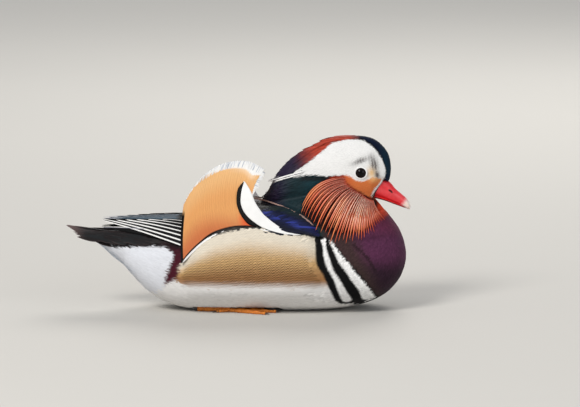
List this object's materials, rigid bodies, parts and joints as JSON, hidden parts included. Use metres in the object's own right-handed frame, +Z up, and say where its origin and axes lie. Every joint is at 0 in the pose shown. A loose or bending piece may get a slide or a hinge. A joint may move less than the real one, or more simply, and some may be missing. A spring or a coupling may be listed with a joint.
{
  "type": "still model of a drake mandarin duck",
  "caption": "Life-size drake mandarin duck at rest on its belly, feet tucked under, head drawn in, ruff spread and the orange wing sails raised over the back.",
  "frame": {"origin": "on the floor, under the middle of the bird's bounding box", "axes": "+X towards the bill, along the bird's length; +Y to the bird's left, across its width; +Z up"},
  "size_m": [0.3617, 0.1322, 0.1823],
  "materials": {
    "breast_feathers": "short overlapping maroon, white and black body feathers",
    "neck_feathers": "short rust-red neck feathers",
    "head_feathers": "silky white, chestnut, green and orange head feathers",
    "bill_horn": "coral-red horn, satin",
    "nail_horn": "pale pink horn, satin",
    "eye": "wet dark brown eye",
    "flank_feathers": "buff feathers with fine dark bars",
    "wing_feathers": "glossy dark blue and green wing feathers",
    "sail_feathers": "orange webs with a white rim",
    "scapular_feathers": "white and black feathers",
    "tail_feathers": "dark brown tail feathers over white coverts",
    "foot_skin": "scaly orange skin with horn claws"
  },
  "bodies": {
    "root": {"torso": "breast_feathers", "neck": "neck_feathers", "head": "head_feathers", "bill_upper": "bill_horn", "bill_lower": "bill_horn", "bill_nail": "nail_horn", "eye_left": "eye", "eye_right": "eye", "flank_left": "flank_feathers", "flank_right": "flank_feathers", "wing_left": "wing_feathers", "wing_right": "wing_feathers", "sail_left": "sail_feathers", "sail_right": "sail_feathers", "scapular_left": "scapular_feathers", "scapular_right": "scapular_feathers", "tail": "tail_feathers", "leg_left": "foot_skin", "leg_right": "foot_skin", "foot_left": "foot_skin", "foot_right": "foot_skin"}
  },
  "joints": []
}
